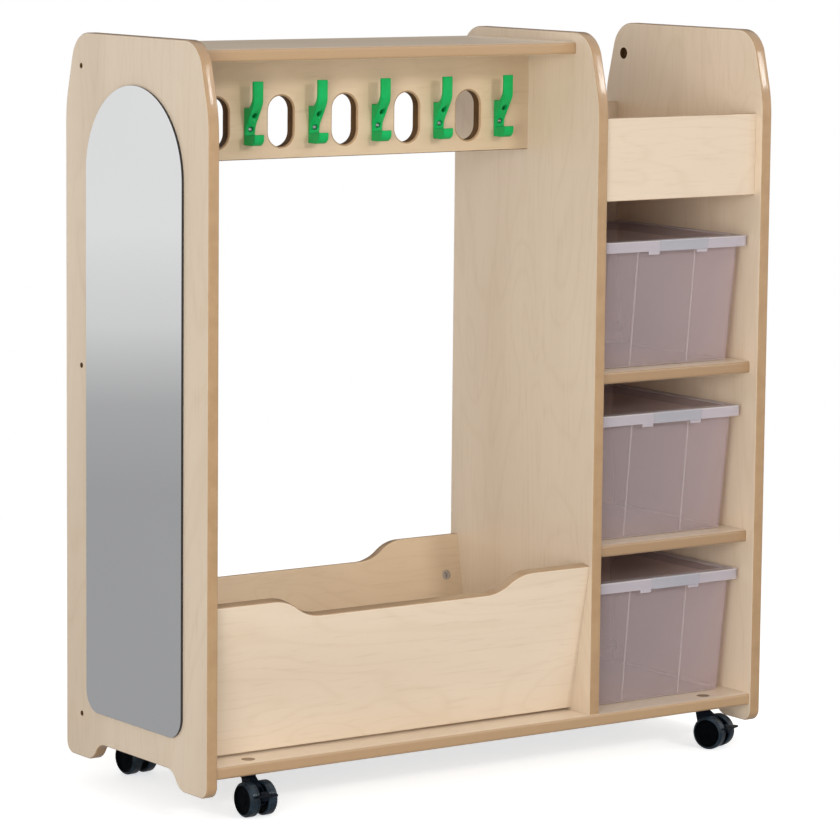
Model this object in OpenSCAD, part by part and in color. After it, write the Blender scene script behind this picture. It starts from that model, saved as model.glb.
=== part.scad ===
// Dress-up storage unit with mirror: open hanging bay with a costume trough, a tower of
// three lidded tubs under an open bin, a mirror on one end, on twin-wheel swivel casters.

/* [Unit] */
// Overall width over the two end panels
unit_w = 1006; // [830:1:1210]
// Depth of the end panels, front to back
unit_d = 387; // [350:1:470]
// Height of the end panels, foot to top
panel_h = 1060; // [990:1:1280]
// Thickness of every faced board
board_t = 18; // [16:0.5:22]
// Clear width of the tub tower between divider and right end panel
tower_w = 287; // [270:1:340]

/* [End panels] */
// Radius at the top corners of end panels and divider
top_r = 45; // [25:1:60]
// Width of the sloping cheek below each top corner
cheek_w = 27; // [15:1:40]
// Height of the sloping cheek
cheek_h = 105; // [70:1:140]
// Height of the foot arch
arch_h = 27; // [15:1:40]
// Flat length of each foot
foot_l = 60; // [40:1:80]
// Run of the S-curve from foot to arch
arch_run = 48; // [40:1:70]
// Radius on the outer foot corners
foot_r = 18; // [8:1:24]
// Link hole bore
link_d = 8; // [6:0.5:10]
// Link hole counterbore on the inner side
link_cb = 18; // [14:1:22]
// Depth of the counterbore
link_cb_depth = 8; // [4:1:12]
// Link holes in from the back edge
link_in = 44.5; // [30:0.5:60]
// Lowest link hole above the foot
link_low = 65; // [50:1:120]
// Middle link hole above the foot
link_mid = 579; // [300:1:700]
// Highest link hole below the top of the panel
link_top_in = 48; // [40:1:90]

/* [Boards] */
// Underside of the base above the foot
base_z = 26; // [20:1:40]
// Base set back from the panel edges
base_set = 4; // [2:1:10]
// Divider set back at the front
div_front = 9; // [4:1:20]
// Divider set back at the rear
div_rear = 15; // [8:1:30]
// Top board: top face below the top of the panels
top_drop = 14.5; // [8:0.5:30]
// Top board set back, front and rear
top_set = 68; // [40:1:90]
// Rounding on the long edges of the boards
edge_r = 4; // [1:0.5:6]
// Upper tub shelf, set lower than even spacing
shelf_hi_drop = 10.5; // [0:0.5:20]
// Lower tub shelf, set lower than even spacing
shelf_lo_drop = 9.3; // [0:0.1:20]
// Shelves set back from the panel fronts
shelf_set = 19; // [10:1:40]
// Bin front: top edge below the top of the panels
bin_drop = 125; // [100:1:180]
// Bin front: height
bin_h = 123; // [90:1:170]
// Bin front set back
bin_set = 16; // [8:1:30]

/* [Hook rail] */
// Depth of the rail below the top board
rail_h = 147; // [120:1:190]
// Hooks on the rail
hook_n = 6; // [3:1:8]
// Finger slot width
slot_w = 43; // [30:1:55]
// Finger slot height
slot_h = 73.5; // [60:0.5:100]
// Slot underside above the rail's lower edge
slot_up = 17; // [12:1:30]
// Hook width
hook_w = 17; // [12:1:24]
// Hook foot above the rail's lower edge
hook_up = 21; // [8:1:30]
// Hook screw shank
hook_screw_d = 4; // [3:0.5:5]

/* [Costume trough] */
// Lean of the trough boards from upright
trough_lean = 10.5; // [6:0.5:15]
// Foot of each trough board in from the panel edge
trough_in = 57; // [50:1:75]
// Gap under the trough boards
trough_gap = 2.5; // [1:0.5:6]
// Height of a trough board along its face at the ends
trough_h = 226; // [160:1:270]
// Depth of the dip
trough_dip = 28; // [15:1:45]
// Level shoulder at each end of the dip
trough_shoulder = 104; // [60:1:140]
// Run of the S-curve into the dip
trough_run = 83; // [60:1:110]

/* [Mirror] */
// Mirror width
mirror_w = 260; // [200:1:300]
// Mirror bottom above the foot
mirror_z = 74; // [60:1:120]
// Mirror top below the top of the panel
mirror_drop = 69; // [50:1:160]
// Mirror sheet thickness
mirror_t = 3; // [2:0.5:5]
// Black backing under the sheet
backing_t = 1; // [0.5:0.5:2]
// Backing drawn in from the edge of the sheet
backing_in = 0.5; // [0:0.5:3]
// Radius on the bottom corners
mirror_r = 32; // [10:1:50]

/* [Tubs] */
// Side gap between a tub's rim and the tower walls
tub_side = 7.5; // [4:0.5:15]
// Space left behind the rearmost tub
tub_rear = 5; // [2:1:60]
// Hand space and lid over a tub body in the lowest bay
tub_over = 44.7; // [40:0.1:80]
// Wall thickness
tub_t = 2; // [1.5:0.5:3]
// Draft of the side walls over the height
tub_draft = 4; // [2:1:16]
// Draft of the front and back walls over the height
tub_draft_fb = 18; // [2:1:20]
// Overhang of the rim
rim_out = 7; // [4:1:10]
// Lid skirt height
skirt_h = 14; // [10:1:20]
// Lid skirt thickness
skirt_t = 2; // [1.5:0.5:3]
// Corner radius of a lid, seen from above
lid_r = 7; // [6:0.5:20]
// Spacing of the two upright ribs on a tub's front and rear walls
rib_pitch = 109; // [60:1:120]
// Middle of the two ribs right of the tub's centre
rib_shift = -13.5; // [-20:0.5:20]
// Width of the raised grip on a lid's edge
grip_w = 92; // [40:1:110]
// Middle of the grip right of the lid's centre
grip_shift = 12; // [-20:1:20]
// Rest position of each tub behind the panel fronts, top tub first
tub_y = [21, 29, 27];
// Centre of the tubs right of the tower's centre line
tub_shift = 1; // [-3:1:3]

/* [Casters] */
// Wheel diameter
wheel_d = 50; // [40:1:60]
// Width of one wheel
wheel_w = 16; // [12:1:20]
// Gap between the twin wheels
wheel_gap = 14; // [13:0.5:18]
// Offset of the axle from the swivel axis
trail = 20; // [14:1:26]
// Room between the top of the wheels and the underside of the base
caster_over = 10; // [10:1:25]
// Swivel axis in from the outer faces of the end panels
caster_x = 88; // [80:1:120]
// Swivel axis in from the panel's front and rear edges
caster_y = 30; // [28:1:60]
// Direction each caster points at rest: front left, front right, rear left, rear right
caster_turn = [0, 22, 6, -14];
// Swivel pin
swivel_d = 8; // [6:0.5:9]
// Axle diameter
axle_d = 6; // [5:0.5:8]
// Depth of the brake pedal's tread
pedal_tread = 7.5; // [5:0.5:14]
// Gap from the wheels to the brake pedal's tread
pedal_gap = 1; // [1:0.5:3]
// Brake pedal width
pedal_w = 32; // [20:1:34]

/* [Hidden] */
$fn = 64;
run_fit = 0.05;      // radial clearance of a turning fit
part_gap = 0.3;      // gap between pieces that move apart
seat = 0.1;          // radial clearance of fixed hardware in its bore
mir_out = mirror_t + backing_t;
left_in = board_t;                          // inner face of left end panel
div_r = unit_w - board_t - tower_w;         // right face of divider
div_l = div_r - board_t;                    // left face of divider
right_in = unit_w - board_t;                // inner face of right end panel
base_top = base_z + board_t;
top_top = panel_h - top_drop;
top_z = top_top - board_t;
rail_y = (unit_d - board_t) / 2;
rail_z = top_z - rail_h;
bay_c = (left_in + div_l) / 2;
bay_w = div_l - left_in;
hook_pitch = bay_w / hook_n;
back_y = unit_d - div_rear - board_t;       // inner face of tower back
bin_top = panel_h - bin_drop;
bin_z = bin_top - bin_h;
bay_h = (bin_z - base_top - 2 * board_t) / 3;               // a tub bay, evenly spaced
shelf_lo = base_top + bay_h + board_t - shelf_lo_drop;      // top faces of the shelves
shelf_hi = base_top + 2 * (bay_h + board_t) - shelf_hi_drop;
link_z = [link_low, link_mid, panel_h - link_top_in];
mirror_h = panel_h - mirror_drop - mirror_z;
tub_d = back_y - max(tub_y) - tub_rear;
tub_h = shelf_lo - board_t - base_top - tub_over;
caster_h = wheel_d + caster_over;                           // floor to underside of base
pedal_reach = trail + wheel_d / 2 + pedal_gap + pedal_tread;
lift = caster_h - base_z;                   // foot bottom above the floor
front_reach = max([for (i = [0, 1]) pedal_reach * cos(caster_turn[i])
                   + pedal_w / 2 * abs(sin(caster_turn[i]))]);
y_front = caster_y - front_reach;
org_x = (unit_w - mir_out) / 2;
org_y = (y_front + unit_d) / 2;

wood = [0.85, 0.74, 0.6];

// ---- helpers -------------------------------------------------------------

function unit(v) = v / norm(v);
function cross2(a, b) = a[0] * b[1] - a[1] * b[0];

// Polygon (counter-clockwise) with an arc of radius v[i][2] at every vertex. The arcs' points are
// worked out here, close enough together that no chord lies further than arc_sag from its arc.
arc_sag = 0.03;
module rpoly(v) {
  n = len(v);
  function pt(i) = [v[(i + n) % n][0], v[(i + n) % n][1]];
  function d1(i) = unit(pt(i - 1) - pt(i));
  function d2(i) = unit(pt(i + 1) - pt(i));
  function half(i) = acos(max(-1, min(1, d1(i) * d2(i)))) / 2;
  function ctr(i) = pt(i) + unit(d1(i) + d2(i)) * v[i][2] / sin(half(i));
  function convex(i) = cross2(pt(i) - pt(i - 1), pt(i + 1) - pt(i)) > 0;
  function corner(i) = v[i][2] == 0 ? [pt(i)] : let (
      r = v[i][2], c = ctr(i), first = pt(i) + d1(i) * r / tan(half(i)) - c,
      sweep = (convex(i) ? 1 : -1) * (180 - 2 * half(i)), start = atan2(first[1], first[0]),
      steps = ceil(abs(sweep) / (2 * acos(1 - arc_sag / r))))
    [for (k = [0:steps]) let (a = start + sweep * k / steps) c + r * [cos(a), sin(a)]];
  all = [for (i = [0:n - 1]) each corner(i)];
  m = len(all);
  polygon([for (k = [0:m - 1]) if (norm(all[k] - all[(k + 1) % m]) > 0.001) all[k]]);
}

// upper half of a disc, flat side on the X axis
module half_disc(r) intersection() {
  circle(r, $fn = 64);
  translate([-r - 1, 0]) square([2 * r + 2, r + 1]);
}

// upright slot with round ends, standing on the X axis
module round_slot(w, h) {
  translate([-w / 2, w / 2]) square([w, h - w]);
  translate([0, h - w / 2]) half_disc(w / 2);
  translate([0, w / 2]) mirror([0, 1]) half_disc(w / 2);
}

// 2-D profile given in (depth, height), thickness along +X
module slab(t) { rotate([90, 0, 90]) linear_extrude(t) children(); }

module place() { translate([-org_x, -org_y, lift]) children(); }

// board along X between x0 and x1 with rounded long edges, section in (depth, height)
module rail_board(x0, x1, y0, y1, z0, z1, r) {
  translate([x0, 0, 0]) slab(x1 - x0)
    rpoly([[y0, z0, r], [y1, z0, r], [y1, z1, r], [y0, z1, r]]);
}

// ---- knock-down fittings -------------------------------------------------
// every fitting: [x of the panel face, +1 or -1 into the board, depth y, height z, lean]

cam_in = 28;      // cam centre in from the board's end
cam_d = 15;
cam_depth = 12.5;
bolt_d = 7;
bolt_in = 11;     // bolt's thread in the panel
dowel_d = 8;
dowel_in = 10;    // dowel in the panel
dowel_out = 20;   // dowel in the board

// the trough boards lean outwards: local frame is (thickness inward, height along the board)
function trough_pt(side, n, h) = let (a = trough_lean,
    y = trough_in + n * cos(a) - h * sin(a), z = base_top + trough_gap + n * sin(a) + h * cos(a))
    [side > 0 ? unit_d - y : y, z];

fit_in = 25;       // fittings in from the long edges of an upright board
top_fit_in = 40;
base_fit_in = 110;
trough_fit = [50, trough_h - 63];
flat_fit = [shelf_set + 71, back_y - 64];
back_fit = [(base_top + shelf_lo - board_t) / 2, (shelf_lo + shelf_hi - board_t) / 2,
            (bin_z + board_t + bin_top) / 2];
bay_ends = [[left_in, 1], [div_l, -1]];
tower_ends = [[div_r, 1], [right_in, -1]];
base_ends = [[left_in, 1], [right_in, -1]];
mid = board_t / 2;

function fits(ends, pts, lean) = [for (p = pts) for (e = ends) [e[0], e[1], p[0], p[1], lean]];
function pegs(ends, p) = [for (e = ends) [e[0], e[1], p[0], p[1]]];

top_fit = [top_set + top_fit_in, unit_d - top_set - top_fit_in];
f_top = fits(bay_ends, [for (y = top_fit) [y, top_z + mid]], 180);
f_rail = fits(bay_ends, [for (z = [rail_z + fit_in, top_z - fit_in]) [rail_y + mid, z]], -90);
f_trough_f = fits(bay_ends, [for (h = trough_fit) trough_pt(-1, mid, h)], -90 + trough_lean);
f_trough_b = fits(bay_ends, [for (h = trough_fit) trough_pt(1, mid, h)], 90 - trough_lean);
f_base = fits(base_ends, [for (y = [base_fit_in, unit_d - base_fit_in]) [y, base_z + mid]], 180);
f_back = fits(tower_ends, [for (z = back_fit) [back_y + mid, z]], -90);
f_bin = fits(tower_ends, [for (z = [bin_z + fit_in + 5, bin_top - fit_in - 5]) [bin_set + mid, z]], -90);
function f_flat(z) = fits(tower_ends, [for (y = flat_fit) [y, z + mid]], 180);
f_all = concat(f_top, f_rail, f_trough_f, f_trough_b, f_base, f_back, f_bin,
               f_flat(bin_z), f_flat(shelf_hi - board_t), f_flat(shelf_lo - board_t));

// dowels: [x, direction, y, z]
trough_peg = (trough_fit[0] + trough_fit[1]) / 2;
d_top = pegs(bay_ends, [unit_d / 2, top_z + mid]);
d_rail = pegs(bay_ends, [rail_y + mid, rail_z + rail_h / 2]);
d_trough_f = pegs(bay_ends, trough_pt(-1, mid, trough_peg));
d_trough_b = pegs(bay_ends, trough_pt(1, mid, trough_peg));
d_base = pegs(base_ends, [unit_d / 2, base_z + mid]);
d_back = pegs(tower_ends, [back_y + mid, (shelf_hi + bin_z) / 2]);
function d_flat(z) = pegs(tower_ends, [(flat_fit[0] + flat_fit[1]) / 2, z + mid]);
d_all = concat(d_top, d_rail, d_trough_f, d_trough_b, d_base, d_back,
               d_flat(bin_z), d_flat(shelf_hi - board_t), d_flat(shelf_lo - board_t));

module along(f) { translate([f[0], f[2], f[3]]) rotate([0, f[1] > 0 ? 90 : -90, 0]) children(); }

module board_cuts(list, dowels) {
  for (f = list) {
    translate([f[0] + f[1] * cam_in, f[2], f[3]]) rotate([f[4], 0, 0])
      translate([0, 0, board_t / 2 - cam_depth - 0.5]) cylinder(d = cam_d + 2 * seat, h = cam_depth + 5);
    along(f) translate([0, 0, -1]) cylinder(d = bolt_d + 2 * seat, h = cam_in + 1);
  }
  for (d = dowels) along(d) translate([0, 0, -1]) cylinder(d = dowel_d + 2 * seat, h = dowel_out + 2);
}

module panel_cuts(x, dir) {
  for (f = f_all) if (f[0] == x && f[1] == dir)
    along(f) translate([0, 0, -bolt_in - 0.5]) cylinder(d = bolt_d + 2 * seat, h = bolt_in + 1.5);
  for (d = d_all) if (d[0] == x && d[1] == dir)
    along(d) translate([0, 0, -dowel_in - 0.5]) cylinder(d = dowel_d + 2 * seat, h = dowel_in + 1.5);
}

// ---- end panels and divider ---------------------------------------------

module panel_profile(y0, y1, z0, feet) {
  s = arch_run; h = arch_h;
  r = (s * s + h * h) / (4 * h);
  t = r * tan(atan(h / s));
  low = feet
    ? [[y0, z0, foot_r], [y0 + foot_l + t, z0, r], [y0 + foot_l + s - t, z0 + h, r],
       [y1 - foot_l - s + t, z0 + h, r], [y1 - foot_l - t, z0, r], [y1, z0, foot_r]]
    : [[y0, z0, 0], [y1, z0, 0]];
  rpoly(concat(low, [[y1, panel_h - cheek_h, 200], [y1 - cheek_w, panel_h, top_r],
                     [y0 + cheek_w, panel_h, top_r], [y0, panel_h - cheek_h, 200]]));
}

module link_bores(x, dir) {
  for (z = link_z) translate([x, unit_d - link_in, z]) rotate([0, 90, 0]) {
    translate([0, 0, -1]) cylinder(d = link_d, h = board_t + 2);
    translate([0, 0, dir > 0 ? board_t - link_cb_depth : -1]) cylinder(d = link_cb, h = link_cb_depth + 1);
  }
}

module end_panel(x, dir) {
  color(wood) difference() {
    translate([x, 0, 0]) slab(board_t) panel_profile(0, unit_d, 0, true);
    link_bores(x, dir);
    panel_cuts(dir > 0 ? left_in : right_in, dir);
  }
}

module end_panel_left() place() end_panel(0, 1);
module end_panel_right() place() end_panel(right_in, -1);

module divider() place() color(wood) difference() {
  translate([div_l, 0, 0]) slab(board_t) panel_profile(div_front, unit_d - div_rear, base_top, false);
  panel_cuts(div_l, -1);
  panel_cuts(div_r, 1);
  divider_screw_at() translate([0, 0, board_t]) cylinder(d = screw_d + 2 * seat, h = 42);
}

screw_d = 5;
screw_head = 10;
module divider_screw_at()
  for (y = [60, unit_d / 2, unit_d - 60]) translate([(div_l + div_r) / 2, y, base_z]) children();

module divider_screws() place() color([0.75, 0.76, 0.78]) divider_screw_at() difference() {
  rotate_extrude() polygon([[0, 0.4], [screw_head / 2, 0.4], [screw_head / 2, 1.2], [screw_d / 2, 4.2],
                            [screw_d / 2, 52], [0, 56]]);
  cylinder(d = 4, h = 3, $fn = 6);
}

// ---- boards --------------------------------------------------------------

module caster_at(i) translate([i % 2 == 0 ? caster_x : unit_w - caster_x,
                               i < 2 ? caster_y : unit_d - caster_y, 0]) children();

cap_d = 20;
cap_t = 1.5;
nut_d = 12;
nut_l = 12;
stem_d = 10;

module base_board() place() color(wood) difference() {
  rail_board(left_in, right_in, base_set, unit_d - base_set, base_z, base_top, edge_r);
  board_cuts(f_base, d_base);
  for (i = [0:3]) caster_at(i) {
    translate([0, 0, base_z - 1]) cylinder(d = nut_d + 2 * seat, h = board_t + 2);
    translate([0, 0, base_top - 2 * cap_t]) cylinder(d = cap_d + 2 * seat, h = 2 * cap_t + 1);
  }
  divider_screw_at() {
    translate([0, 0, -1]) cylinder(d = screw_d + 2 * seat, h = board_t + 2);
    translate([0, 0, 0]) rotate_extrude() polygon([[0, -1], [screw_head / 2 + seat, -1],
      [screw_head / 2 + seat, 1.2], [screw_d / 2 + seat, 4.2], [0, 4.2]]);
  }
}

module top_board() place() color(wood) difference() {
  rail_board(left_in, div_l, top_set, unit_d - top_set, top_z, top_top, edge_r);
  board_cuts(f_top, d_top);
}

function slot_x(k) = bay_c + (k - (hook_n - 2) / 2) * hook_pitch;
function hook_x(k) = bay_c + (k - (hook_n - 1) / 2) * hook_pitch;

module hook_rail() place() color(wood) difference() {
  rail_board(left_in, div_l, rail_y, rail_y + board_t, rail_z, top_z, edge_r / 3);
  for (k = [0:hook_n - 2]) translate([slot_x(k), rail_y - 1, rail_z + slot_up])
    rotate([90, 0, 0]) translate([0, 0, -board_t - 2]) linear_extrude(board_t + 2)
      round_slot(slot_w, slot_h);
  board_cuts(f_rail, d_rail);
  for (k = [0:hook_n - 1]) hook_screw_at(k) cylinder(d = hook_screw_d + 2 * seat, h = 14);
}

module trough_board(side) {
  s = trough_run; h = trough_dip; r = (s * s + h * h) / (4 * h); t = r * tan(atan(h / s));
  a = trough_shoulder; w = bay_w;
  difference() {
    translate([0, side > 0 ? unit_d : 0, 0]) mirror([0, side > 0 ? 1 : 0, 0])
      translate([left_in, trough_in, base_top + trough_gap]) rotate([trough_lean, 0, 0])
        rotate([90, 0, 0]) translate([0, 0, -board_t]) linear_extrude(board_t)
          rpoly([[0, 0, 0], [w, 0, 0], [w, trough_h, 0], [w - a - t, trough_h, r],
                 [w - a - s + t, trough_h - h, r], [a + s - t, trough_h - h, r],
                 [a + t, trough_h, r], [0, trough_h, 0]]);
    board_cuts(side > 0 ? f_trough_b : f_trough_f, side > 0 ? d_trough_b : d_trough_f);
  }
}
module trough_front() place() color(wood) trough_board(-1);
module trough_back() place() color(wood) trough_board(1);

module tower_back() place() color(wood) difference() {
  rail_board(div_r, right_in, back_y, back_y + board_t, base_top, bin_top, edge_r / 3);
  board_cuts(f_back, d_back);
}

module bin_front() place() color(wood) difference() {
  rail_board(div_r, right_in, bin_set, bin_set + board_t, bin_z, bin_top, edge_r / 3);
  board_cuts(f_bin, []);
}

module flat_board(z, y0, r) color(wood) difference() {
  rail_board(div_r, right_in, y0, back_y, z, z + board_t, r);
  board_cuts(f_flat(z), d_flat(z));
}
module bin_floor() place() flat_board(bin_z, bin_set + board_t, edge_r / 3);
module shelf_upper() place() flat_board(shelf_hi - board_t, shelf_set, edge_r);
module shelf_lower() place() flat_board(shelf_lo - board_t, shelf_set, edge_r);

// ---- mirror --------------------------------------------------------------

module mirror_outline(inset) {
  r = mirror_w / 2 - inset;
  yc = unit_d / 2;
  z0 = mirror_z + inset;
  zc = mirror_z + mirror_h - mirror_w / 2;   // centre of the round top
  union() {
    rpoly([[yc - r, z0, mirror_r], [yc + r, z0, mirror_r], [yc + r, zc, 0], [yc - r, zc, 0]]);
    translate([yc, zc]) half_disc(r);
  }
}
module mirror_sheet() place() color([0.78, 0.8, 0.82]) translate([-mir_out, 0, 0]) slab(mirror_t)
  mirror_outline(0);
module mirror_backing() place() color([0.1, 0.1, 0.12]) translate([-backing_t, 0, 0]) slab(backing_t)
  mirror_outline(backing_in);

// ---- coat hooks ----------------------------------------------------------
// side profile in (projection, height above the hook's foot)

module hook_profile() rpoly([[0, 0, 0], [29, 0, 11], [29, 16.8, 1.6], [4.4, 14.2, 2.2],
  [6.2, 27, 18], [16, 43, 20], [26.3, 60, 24], [26.3, 92.5, 1.2], [21.6, 92.5, 1.2],
  [21.6, 64, 22], [12.5, 53.8, 6], [0, 53.8, 0]]);

hook_screw_h = [23, 43.5];
hook_screw_head = 8;      // recess for a screw's head
module hook_screw_at(k) for (h = hook_screw_h)
  translate([hook_x(k), rail_y, rail_z + hook_up + h]) rotate([-90, 0, 0]) children();

module coat_hook(k) place() color([0, 0.66, 0.3]) difference() {
  translate([hook_x(k) - hook_w / 2, rail_y, rail_z + hook_up]) rotate([90, 0, 90])
    linear_extrude(hook_w) mirror([1, 0]) hook_profile();
  hook_screw_at(k) {
    translate([0, 0, -40]) cylinder(d = hook_screw_d + 2 * seat, h = 41);
    translate([0, 0, -40]) cylinder(d = hook_screw_head, h = 40 - 2.6);
  }
}
module coat_hook_1() coat_hook(0);
module coat_hook_2() coat_hook(1);
module coat_hook_3() coat_hook(2);
module coat_hook_4() coat_hook(3);
module coat_hook_5() coat_hook(4);
module coat_hook_6() coat_hook(5);

module hook_screws() place() color([0.75, 0.76, 0.78]) for (k = [0:hook_n - 1]) hook_screw_at(k)
  difference() {
    rotate_extrude() polygon([[0, -4.9], [1.8, -4.9], [3.4, -3.8], [3.6, -2.6], [hook_screw_d / 2, -2.6],
                              [hook_screw_d / 2, 10.5], [0, 12.5]]);
    for (a = [0, 90]) rotate([0, 0, a]) translate([-1.8, -0.4, -5.5]) cube([3.6, 0.8, 1.6]);
  }

// ---- fittings ------------------------------------------------------------

module cam_locks() place() color([0.72, 0.73, 0.76]) for (f = f_all)
  translate([f[0] + f[1] * cam_in, f[2], f[3]]) rotate([f[4], 0, 0]) difference() {
    translate([0, 0, board_t / 2 - cam_depth - 0.5]) cylinder(d = cam_d, h = cam_depth);
    translate([0, 0, board_t / 2 - 2.5]) for (a = [0, 90]) rotate([0, 0, a + 20])
      translate([-4.5, -0.9, 0]) cube([9, 1.8, 3]);
  }

module cam_bolts() place() color([0.8, 0.8, 0.82]) for (f = f_all) along(f) rotate_extrude()
  polygon([[0, -bolt_in], [bolt_d / 2, -bolt_in], [bolt_d / 2, 1], [bolt_d / 2 - 1, 2],
           [bolt_d / 2 - 1, cam_in - cam_d / 2 - 4], [bolt_d / 2, cam_in - cam_d / 2 - 3],
           [bolt_d / 2, cam_in - cam_d / 2 - 0.4], [0, cam_in - cam_d / 2 - 0.4]]);

module wood_dowels() place() color([0.86, 0.75, 0.55]) for (d = d_all) along(d)
  rotate_extrude() polygon([[0, -dowel_in], [dowel_d / 2 - 1, -dowel_in], [dowel_d / 2, -dowel_in + 1],
    [dowel_d / 2, dowel_out - 1], [dowel_d / 2 - 1, dowel_out], [0, dowel_out]]);

module caster_caps() place() color([0.72, 0.58, 0.42]) for (i = [0:3]) caster_at(i)
  translate([0, 0, base_top - cap_t]) rotate_extrude() polygon([[0, 0], [cap_d / 2, 0],
    [cap_d / 2, cap_t - 0.5], [cap_d / 2 - 0.5, cap_t], [0, cap_t]]);

module t_nuts() place() color([0.7, 0.71, 0.74]) for (i = [0:3]) caster_at(i) rotate_extrude()
  polygon([[stem_d / 2 + seat, base_top - 2 * cap_t - nut_l], [nut_d / 2, base_top - 2 * cap_t - nut_l],
           [nut_d / 2, base_top - 2 * cap_t], [cap_d / 2, base_top - 2 * cap_t],
           [cap_d / 2, base_top - cap_t - 0.2], [stem_d / 2 + seat, base_top - cap_t - 0.2]]);

// ---- tubs ----------------------------------------------------------------

tub_c = (div_r + right_in) / 2 + tub_shift;
tub_w = tower_w - 2 * tub_side;                // over the lid
body_w = tub_w - 2 * (skirt_t + part_gap) - 2 * rim_out;   // body under the rim, at the top
body_d = tub_d - 2 * (skirt_t + part_gap) - 2 * rim_out;
tub_r = lid_r;                                 // corners of the body and, inside the lid, the rim
floors = [shelf_hi, shelf_lo, base_top];

module rrect(w, d, r)
  rpoly([[-w / 2, -d / 2, r], [w / 2, -d / 2, r], [w / 2, d / 2, r], [-w / 2, d / 2, r]]);
module slice(w, d, r, z) translate([0, 0, z]) linear_extrude(0.01) rrect(w, d, r);

module tub_frame(i) translate([tub_c, tub_y[i] + tub_d / 2, floors[i] + part_gap]) children();

module tub(i) place() tub_frame(i) color([0.8, 0.8, 0.84, 0.5]) {
  w = body_w; d = body_d; h = tub_h; lean = atan(tub_draft_fb / (tub_h - 3));
  difference() {
    union() {
      hull() {
        slice(w - 2 * tub_draft - 6, d - 2 * tub_draft_fb - 6, tub_r - 2, 0);
        slice(w - 2 * tub_draft, d - 2 * tub_draft_fb, tub_r, 3);
        slice(w, d, tub_r, h - 0.01);
      }
      translate([0, 0, h - 3]) linear_extrude(3)
        rrect(w + 2 * rim_out, d + 2 * rim_out, lid_r - skirt_t - part_gap);
      for (a = [0, 180]) rotate([0, 0, a]) for (x = [-rib_pitch / 2, rib_pitch / 2])
        translate([x + rib_shift * cos(a), tub_draft_fb - d / 2, 3]) rotate([lean, 0, 0])
          linear_extrude((h - 5) / cos(lean))
            rpoly([[-1.3, -1.2, 0.6], [1.3, -1.2, 0.6], [1.3, 1, 0], [-1.3, 1, 0]]);
    }
    hull() {
      slice(w - 2 * tub_draft - 6 - 2 * tub_t, d - 2 * tub_draft_fb - 6 - 2 * tub_t, tub_r - 3, tub_t);
      slice(w - 2 * tub_draft - 2 * tub_t, d - 2 * tub_draft_fb - 2 * tub_t, tub_r - tub_t, 3 + tub_t);
      slice(w - 2 * tub_t, d - 2 * tub_t, tub_r - tub_t, h + 0.01);
    }
  }
}
module tub_1() tub(0);
module tub_2() tub(1);
module tub_3() tub(2);

// lid: recessed top panel, turned-down skirt, grip on the front and back edges, two clip tabs
tab_w = 20;
tab_x = [grip_shift - grip_w / 2 - tab_w / 2 - 1, grip_shift + grip_w / 2 - tab_w / 2 - 1];
tab_h = 5;
module tub_lid(i) place() tub_frame(i) color([0.86, 0.86, 0.9, 0.6]) {
  w = tub_w; d = tub_d; r = lid_r;
  top = tub_h + part_gap + skirt_t;
  translate([0, 0, top - skirt_h - skirt_t]) difference() {
    union() {
      linear_extrude(skirt_h + skirt_t) rrect(w, d, r);
      for (s = [-1, 1]) translate([-s * grip_shift, s * (d / 2 - 4), 0]) linear_extrude(skirt_h + skirt_t + 1)
        rpoly([[-grip_w / 2 + 4, -8, 0], [grip_w / 2 - 4, -8, 0], [grip_w / 2, 0, 0], [grip_w / 2 - 4, 8, 0],
               [-grip_w / 2 + 4, 8, 0], [-grip_w / 2, 0, 0]]);
    }
    translate([0, 0, -1]) linear_extrude(skirt_h + 1) rrect(w - 2 * skirt_t, d - 2 * skirt_t, r - skirt_t);
    translate([0, 0, skirt_h + skirt_t - 0.8]) linear_extrude(3) rrect(w - 34, d - 34, r - 2);
  }
  for (x = tab_x) translate([x - tab_w / 2, -d / 2, top - skirt_h - skirt_t - tab_h])
    cube([tab_w, skirt_t, tab_h + 1]);
}
module tub_lid_1() tub_lid(0);
module tub_lid_2() tub_lid(1);
module tub_lid_3() tub_lid(2);

// ---- casters -------------------------------------------------------------
// own frame: swivel axis up +Z, floor at z = 0, axle ahead at -Y

module caster_frame(i) translate([0, 0, -lift]) caster_at(i) rotate([0, 0, caster_turn[i]]) children();

flange_t = 3;
hood_top = caster_h - flange_t - part_gap;
hood_w = wheel_gap - 1.4;
hub_d = 22;
pin_l = 15;
pedal_pin = 3.1;         // hinge pin of the brake pedal
pedal_y = -trail - 15;   // its place in the caster's frame
pedal_z = wheel_d / 2 + 3;
tongue_w = 6.4;          // pedal tongue between the cheeks of the hood
tongue_r = 5;

module stem(i) place() caster_frame(i) color([0.62, 0.63, 0.66]) rotate_extrude()
  polygon([[0, hood_top - pin_l], [swivel_d / 2 - 0.6, hood_top - pin_l],
           [swivel_d / 2, hood_top - pin_l + 0.6], [swivel_d / 2, caster_h - flange_t],
           [cap_d / 2, caster_h - flange_t], [cap_d / 2, caster_h],
           [stem_d / 2, caster_h], [stem_d / 2, caster_h + board_t - 2 * cap_t - 1],
           [stem_d / 2 - 1, caster_h + board_t - 2 * cap_t], [0, caster_h + board_t - 2 * cap_t]]);
module stem_fl() stem(0);
module stem_fr() stem(1);
module stem_rl() stem(2);
module stem_rr() stem(3);

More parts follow.
